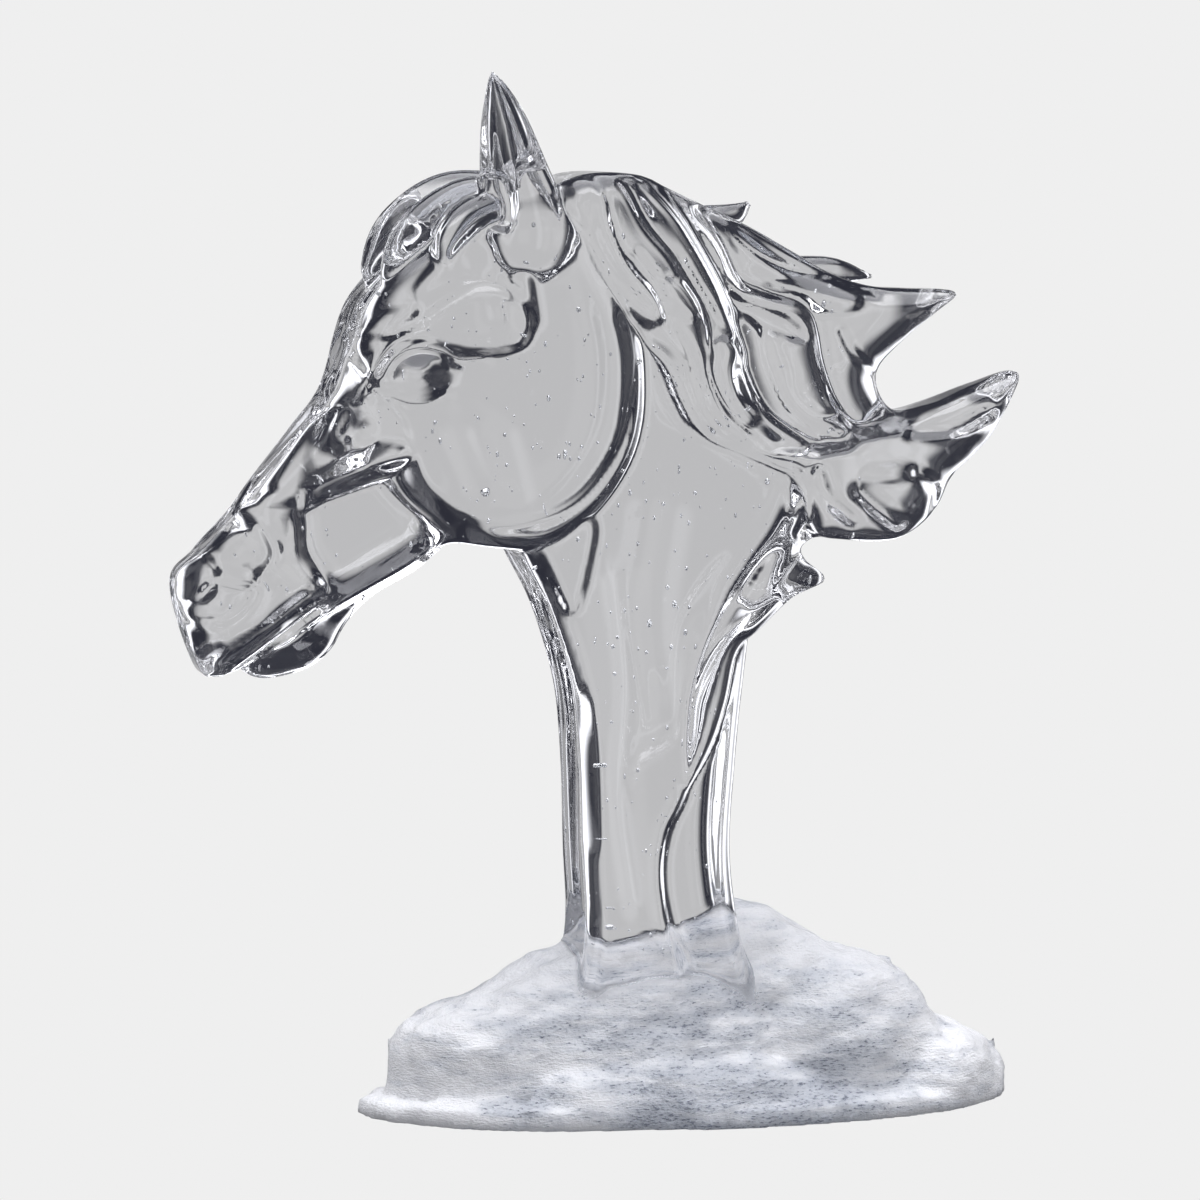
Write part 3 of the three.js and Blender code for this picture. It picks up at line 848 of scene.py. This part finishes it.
on_mound = sample(horse, points[kept]) - sample(mound, points[kept])
frost_share = smooth_step(-1.5, 2.5, on_mound)
frost = skin_mesh.attributes.new("frost", "FLOAT", "POINT")
frost.data.foreach_set("value", frost_share.astype(np.float32))
print("skin box in mm:", points[kept].min(0).round(1), points[kept].max(0).round(1))

# %% [markdown]
# ## Air bubbles
#
# Resin that is stirred and poured holds a few hundred tiny bubbles, most of them under a millimetre. Each
# is a ball of 36 faces at a random place inside the casting. They are one piece of their own, because
# nothing joins them to the skin.

# %% Bubbles
BUBBLE_COUNT = 620
BUBBLE_DEPTH = 4.0
BUBBLE_RADIUS = 0.4
BUBBLE_SPREAD = 0.42
BUBBLE_STRETCH = 0.7
RING_POINTS = 6
RING_COUNT = 3

turns = np.arange(RING_POINTS) * 2 * np.pi / RING_POINTS
rises = np.pi * np.arange(1, RING_COUNT + 1) / (RING_COUNT + 1)
circle = np.stack([np.cos(turns), np.sin(turns), 0 * turns], 1)
rings = [math.sin(rise) * circle + (0, 0, math.cos(rise)) for rise in rises]
ball_points = np.concatenate([[(0, 0, 1)], *rings, [(0, 0, -1)]])
first = np.arange(RING_POINTS)
second = (first + 1) % RING_POINTS
last = len(ball_points) - 1
caps = [np.stack([0 * first, 1 + first, 1 + second], 1),
        np.stack([last + 0 * first, last - RING_POINTS + second, last - RING_POINTS + first], 1)]
walls = []
for ring in range(RING_COUNT - 1):
    top, low = 1 + ring * RING_POINTS, 1 + (ring + 1) * RING_POINTS
    walls.append(np.stack([top + first, low + first, low + second], 1))
    walls.append(np.stack([top + first, low + second, top + second], 1))
ball_faces = np.concatenate(caps + walls)
print("one bubble has", len(ball_faces), "faces")

# %% Scatter them
rng = np.random.default_rng(11)
trial = rng.uniform((-150, -34, 30), (110, 34, 350), (60 * BUBBLE_COUNT, 3))
inside = trial[sample(field, trial) < -BUBBLE_DEPTH][:BUBBLE_COUNT]
size = np.clip(rng.lognormal(math.log(BUBBLE_RADIUS), BUBBLE_SPREAD, len(inside)), 0.2, 1.2)
stretch = 1 + BUBBLE_STRETCH * rng.random((len(inside), 1, 1)) * np.array([0, 0, 1.0])
bubble_points = inside[:, None, :] + ball_points[None] * size[:, None, None] * stretch
bubble_faces = ball_faces[None] + (np.arange(len(inside)) * len(ball_points))[:, None, None]
bubbles = new_mesh("air_bubbles", bubble_points.reshape(-1, 3), bubble_faces.reshape(-1, 3).tolist())
print(len(inside), "bubbles, half of them under", round(2 * np.median(size), 1), "mm wide")

# %% [markdown]
# ## The resin
#
# Cast clear resin is an acrylic or polyester poured as a liquid. It bends light like glass, with an index
# of about 1.5, and has a faint cool tint in depth. The horse is polished. The mound keeps the grain of its
# mould: it scatters light at the surface, which turns it white without making it opaque. One material
# covers both, because a ray has to leave the resin by the material it entered by, or the tint would
# follow it out. The attribute "frost" says where the polish ends.

# %% Material helpers
def hex_colour(code):
    """An sRGB hex colour as linear red, green, blue and alpha: ((c + 0.055) / 1.055)^2.4, or c / 12.92 for
    values c up to 0.04045."""
    parts = [int(code[i : i + 2], 16) / 255 for i in (1, 3, 5)]
    return (*(c / 12.92 if c <= 0.04045 else ((c + 0.055) / 1.055) ** 2.4 for c in parts), 1.0)


def add_node(tree, kind, inputs=(), **settings):
    """Adds a node, sets its properties, and sets or links its inputs. Each input is a pair: a name or a
    place, and a value, a socket or a whole node, whose first output in use is then taken."""
    made = tree.nodes.new(kind)
    for name, value in settings.items():
        setattr(made, name, value)
    for name, value in inputs:
        if isinstance(value, bpy.types.Node):
            value = next(socket for socket in value.outputs if socket.enabled)
        if isinstance(value, bpy.types.NodeSocket):
            tree.links.new(value, made.inputs[name])
        else:
            made.inputs[name].default_value = value
    return made


def new_material(name):
    """A material with an empty node tree."""
    made = bpy.data.materials.new(name)
    made.use_nodes = True
    made.node_tree.nodes.clear()
    return made


print("#808080 is", round(hex_colour("#808080")[0], 3), "in linear light")

# %% The grain of the frosting
GRIT_MM = 0.85
STREAK_MM = 12.0
LUMP_MM = 5.0
PATCH_MM = 34.0

resin = new_material("clear_cast_resin")
tree = resin.node_tree
place = add_node(tree, "ShaderNodeTexCoord").outputs["Object"]
frosted = add_node(tree, "ShaderNodeAttribute", attribute_name="frost").outputs["Fac"]
grain = {}
for name, size_mm, detail, stretch in (
    # the real grit is half as coarse, and is drawn at a size that shows in the picture
    ("grit", GRIT_MM, 3.0, (0.35, 0.35, 1.3)),
    ("streaks", STREAK_MM, 6.0, (0.5, 0.5, 2.4)),
    ("lumps", LUMP_MM, 4.0, (1, 1, 1)),
    ("patches", PATCH_MM, 3.0, (0.6, 0.6, 1.8)),
):
    laid = add_node(tree, "ShaderNodeMapping", [("Vector", place), ("Scale", stretch)])
    grain[name] = add_node(
        tree, "ShaderNodeTexNoise",
        [("Vector", laid), ("Scale", 1 / (size_mm * MM)), ("Detail", detail), ("Roughness", 0.62)],
    )
print("grain sizes in mm:", GRIT_MM, STREAK_MM, LUMP_MM, PATCH_MM)

# %% Where the frosting is thin or bare, and where shade and light are painted on it
MIDDLE_SHADE_REACH = (0.045, 0.125)
MIDDLE_SHADE_SHIFT = (0.075, -0.06)
TOP_REACH = (0.032, 0.058)
TOP_PAINTED_LIGHT = -0.09
THIN_FROM = 0.42
THIN_TO = 0.66
BARE_FROM = 0.545
BARE_TO = 0.64

sides = add_node(tree, "ShaderNodeSeparateXYZ", [("Vector", place)])
from_middle = add_node(
    tree, "ShaderNodeMath", [(0, sides.outputs["X"]), (1, MOUND_CENTRE * MM)], operation="SUBTRACT"
)
from_middle = add_node(tree, "ShaderNodeMath", [(0, from_middle)], operation="ABSOLUTE")
# painted shade: the frosting is made greyer over the mound's thick middle, where the dark inside shows
# through, and whiter at its two ends as painted light
painted_middle_shade = add_node(
    tree, "ShaderNodeMapRange",
    [("Value", from_middle), ("From Min", MIDDLE_SHADE_REACH[0]), ("From Max", MIDDLE_SHADE_REACH[1]),
     ("To Min", MIDDLE_SHADE_SHIFT[0]), ("To Max", MIDDLE_SHADE_SHIFT[1])],
)
top = add_node(
    tree, "ShaderNodeMapRange",
    [("Value", sides.outputs["Z"]), ("From Min", TOP_REACH[0]), ("From Max", TOP_REACH[1])],
)
# painted light: the frosting is made whiter towards the top of the mound, where light from above falls
painted_light_on_top = add_node(tree, "ShaderNodeMath", [(0, top), (1, TOP_PAINTED_LIGHT)], operation="MULTIPLY")
cloud = add_node(tree, "ShaderNodeMix", [("Factor", 0.4), ("A", grain["streaks"]), ("B", grain["patches"])])
for shift in (painted_middle_shade, painted_light_on_top):
    cloud = add_node(tree, "ShaderNodeMath", [(0, cloud), (1, shift)], operation="ADD")
# the grey-blue share of the frosting: thin frost in random streaks and patches, plus the painted shade and
# light
thin_frost_and_painted_shading = add_node(
    tree, "ShaderNodeMapRange", [("Value", cloud), ("From Min", THIN_FROM), ("From Max", THIN_TO)],
    interpolation_type="SMOOTHSTEP",
)
speck = add_node(tree, "ShaderNodeMix", [("Factor", 0.5), ("A", grain["grit"]), ("B", cloud)])
bare_specks_painted_dark = add_node(
    tree, "ShaderNodeMapRange", [("Value", speck), ("From Min", BARE_FROM), ("From Max", BARE_TO)],
    interpolation_type="SMOOTHSTEP",
)
print("bare specks above", BARE_FROM)

# %% Clear cast resin
# Polished resin is nearly invisible: the eye sees only the room that its edges bend. Frosted resin looks
# soft and white with a wet, icy shine. Its bare specks are smoother and painted dark grey, a painted shade
# for the dark inside seen through them. The frosting is painted greyer over the mound's thick middle and
# whiter at its ends and on top, as painted shade and light. Light that falls on the frosting from behind is
# scattered through it, so the rear of the mound is partly translucent.
RESIN_IOR = 1.5
POLISHED_ROUGHNESS = 0.012
FROST_ROUGHNESS = 0.75
TOP_CLEARNESS = 0.55
BARE_ROUGHNESS = 0.22
REAR_GLOW = 0.6
REAR_REACH = (0.008, 0.024)
WET_SHINE = 0.5
FROST_CLEARNESS = (0.28, 0.5)
BUMP_MM = 1.1
TINT_DENSITY = 0.8

# white frost, turned grey-blue where the frosting is thin and where the painted shade falls, and whiter
# where the painted light falls
milk = add_node(
    tree, "ShaderNodeMix",
    [("Factor", thin_frost_and_painted_shading), ("A", hex_colour("#f0f0f1")), ("B", hex_colour("#c6cad1"))], data_type="RGBA",
)
# painted shade: the bare specks get a dark grey colour that stands for the dark inside seen through them
frost_colour = add_node(
    tree, "ShaderNodeMix", [("Factor", bare_specks_painted_dark), ("A", milk), ("B", hex_colour("#7b8190"))], data_type="RGBA"
)
frost_clearness = add_node(
    tree, "ShaderNodeMapRange",
    [("Value", thin_frost_and_painted_shading), ("To Min", FROST_CLEARNESS[0]), ("To Max", FROST_CLEARNESS[1])],
)
frost_clearness = add_node(
    tree, "ShaderNodeMix", [("Factor", top), ("A", frost_clearness), ("B", TOP_CLEARNESS)]
)
frost_roughness = add_node(
    tree, "ShaderNodeMix", [("Factor", bare_specks_painted_dark), ("A", FROST_ROUGHNESS), ("B", BARE_ROUGHNESS)]
)
roughness = add_node(
    tree, "ShaderNodeMix", [("Factor", frosted), ("A", POLISHED_ROUGHNESS), ("B", frost_roughness)]
)
clearness = add_node(tree, "ShaderNodeMix", [("Factor", frosted), ("A", 1.0), ("B", frost_clearness)])
colour = add_node(
    tree, "ShaderNodeMix",
    [("Factor", frosted), ("A", hex_colour("#fcfcfd")), ("B", frost_colour)], data_type="RGBA",
)
relief = add_node(
    tree, "ShaderNodeMath", [(0, grain["grit"]), (1, 0.5), (2, grain["lumps"])], operation="MULTIPLY_ADD"
)
relief = add_node(tree, "ShaderNodeMath", [(0, relief), (1, frosted)], operation="MULTIPLY")
bump = add_node(tree, "ShaderNodeBump", [("Height", relief), ("Strength", 1.0), ("Distance", BUMP_MM * MM)])
wet = add_node(tree, "ShaderNodeMath", [(0, frosted), (1, WET_SHINE)], operation="MULTIPLY")
shader = add_node(
    tree, "ShaderNodeBsdfPrincipled",
    [("Base Color", colour), ("IOR", RESIN_IOR), ("Roughness", roughness), ("Normal", bump),
     ("Transmission Weight", clearness),
     ("Coat Weight", wet), ("Coat Roughness", 0.25), ("Coat Normal", bump)],
)
tint = add_node(
    tree, "ShaderNodeVolumeAbsorption", [("Color", hex_colour("#e8e8eb")), ("Density", TINT_DENSITY)]
)
rear = add_node(
    tree, "ShaderNodeMapRange",
    [("Value", sides.outputs["Y"]), ("From Min", REAR_REACH[0]), ("From Max", REAR_REACH[1])],
)
share = add_node(tree, "ShaderNodeMath", [(0, frosted), (1, rear)], operation="MULTIPLY")
share = add_node(tree, "ShaderNodeMath", [(0, share), (1, REAR_GLOW)], operation="MULTIPLY")
glow = add_node(tree, "ShaderNodeBsdfTranslucent", [("Color", frost_colour), ("Normal", bump)])
surface = add_node(tree, "ShaderNodeMixShader", [("Fac", share), (1, shader), (2, glow)])
add_node(tree, "ShaderNodeOutputMaterial", [("Surface", surface), ("Volume", tint)])
skin_mesh.materials.append(resin)
print("resin nodes:", len(tree.nodes))

# %% Air in the bubbles
# Most of a bubble's wall throws the light back, as water does seen from below, and half metallic stands for
# that. The eye sees a small bright or dark bead.
BUBBLE_MIRROR = 0.55

bubble_wall = new_material("air_bubble_wall")
tree = bubble_wall.node_tree
shader = add_node(
    tree, "ShaderNodeBsdfPrincipled",
    [("Base Color", hex_colour("#f6f7f8")), ("Metallic", BUBBLE_MIRROR), ("IOR", 1.33),
     ("Roughness", 0.08), ("Transmission Weight", 1.0)],
)
add_node(tree, "ShaderNodeOutputMaterial", [("Surface", shader)])
bubbles.data.materials.append(bubble_wall)
print("bubble wall mirrors", BUBBLE_MIRROR, "of the light")

# %% [markdown]
# ## The studio
#
# Clear resin has no colour of its own: it shows the room, bent. The photo's room isn't known. Its grey
# panes, dark lines and white rims suggest a grey backdrop, dark flags beside it and soft lights further
# round, and its pale ground a cut-out. So the world shows the pale ground to the camera and this guessed
# studio to every other ray. The flat sides show the backdrop, and the edges the flags and the lights.

# %% Directions in the studio
GROUND = "#efefef"
BACKDROP = "#c5c5c6"
FLAG = "#2f3039"
LIGHT = "#f5f6fb"

world = bpy.data.worlds.new("studio")
scene.world = world
world.use_nodes = True
tree = world.node_tree
tree.nodes.clear()
turned = add_node(
    tree, "ShaderNodeVectorRotate",
    [("Vector", add_node(tree, "ShaderNodeTexCoord")), ("Angle", -CAMERA_AZIMUTH)],
    rotation_type="Z_AXIS",
)
towards = add_node(tree, "ShaderNodeSeparateXYZ", [("Vector", turned)])
wide = add_node(tree, "ShaderNodeMath", [(0, towards.outputs["X"])], operation="ABSOLUTE")
deep = add_node(tree, "ShaderNodeMath", [(0, towards.outputs["Y"])], operation="ABSOLUTE")
swing = add_node(tree, "ShaderNodeMath", [(0, wide), (1, deep)], operation="ARCTAN2")
climb = add_node(tree, "ShaderNodeMath", [(0, towards.outputs["Z"])], operation="ARCSINE")
print("studio turned by", round(math.degrees(CAMERA_AZIMUTH)), "degrees")

# %% Backdrop, flags and lights
PANEL_SOFTNESS = 8.0
panels = (
    # colour, strength, swing from and to, climb from and to, in degrees
    (BACKDROP, 1.0, -30, 14, -21, 13),
    (LIGHT, 1.6, 32, 45, -32, 38),
    (BACKDROP, 1.0, 49, 66, -36, 14),
    (BACKDROP, 1.0, 74, 120, -21, 14),
    (LIGHT, 5.0, -30, 120, 52, 120),
    (LIGHT, 0.35, -30, 120, -120, -60),
)
studio = hex_colour(FLAG)
for colour, strength, *edges in panels:
    mask = 1.0
    for value, start, end in ((swing, *edges[:2]), (climb, *edges[2:])):
        for edge, low, high in ((start, 0.0, 1.0), (end, 1.0, 0.0)):
            side = add_node(
                tree, "ShaderNodeMapRange",
                [("Value", value), ("To Min", low), ("To Max", high),
                 ("From Min", math.radians(edge - PANEL_SOFTNESS / 2)),
                 ("From Max", math.radians(edge + PANEL_SOFTNESS / 2))],
                interpolation_type="SMOOTHSTEP",
            )
            mask = add_node(tree, "ShaderNodeMath", [(0, mask), (1, side)], operation="MULTIPLY")
    lit = [c * strength for c in hex_colour(colour)[:3]] + [1.0]
    studio = add_node(
        tree, "ShaderNodeMix", [("Factor", mask), ("A", studio), ("B", lit)], data_type="RGBA"
    )
rays = add_node(tree, "ShaderNodeLightPath")
seen = add_node(
    tree, "ShaderNodeMix",
    [("Factor", rays.outputs["Is Camera Ray"]), ("A", studio), ("B", hex_colour(GROUND))], data_type="RGBA",
)
background = add_node(tree, "ShaderNodeBackground", [("Color", seen)])
add_node(tree, "ShaderNodeOutputWorld", [("Surface", background)])
print(len(panels), "panels in the studio")

# %% Floor
FLOOR_HALF = 1300.0
FLOOR_GAP = 0.3

floor_square = ((-1, -1), (1, -1), (1, 1), (-1, 1))
floor_corners = [(FLOOR_HALF * x, FLOOR_HALF * y, -FLOOR_GAP) for x, y in floor_square]
floor = new_mesh("floor", floor_corners, [(0, 1, 2, 3)])
floor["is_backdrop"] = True
# a plain pale ground that only the camera sees, so that the resin shows the studio and not the floor
pale = new_material("pale_floor")
tree = pale.node_tree
rays = add_node(tree, "ShaderNodeLightPath")
glow = add_node(tree, "ShaderNodeEmission", [("Color", hex_colour(GROUND))])
clear = add_node(tree, "ShaderNodeBsdfTransparent")
mixed = add_node(
    tree, "ShaderNodeMixShader", [("Fac", rays.outputs["Is Camera Ray"]), (1, clear), (2, glow)]
)
add_node(tree, "ShaderNodeOutputMaterial", [("Surface", mixed)])
floor.data.materials.append(pale)

scene.view_settings.view_transform = "Standard"
scene.cycles.max_bounces = 20
scene.cycles.transmission_bounces = 20
scene.cycles.glossy_bounces = 8
print("floor", round(2 * FLOOR_HALF), "mm wide")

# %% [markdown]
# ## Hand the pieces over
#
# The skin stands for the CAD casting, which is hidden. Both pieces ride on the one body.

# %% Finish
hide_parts("horse_head_casting")
for piece in (skin, bubbles):
    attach(piece, "root")

low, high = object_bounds()
print("size in mm:", [round(1000 * v, 1) for v in low], [round(1000 * v, 1) for v in high])
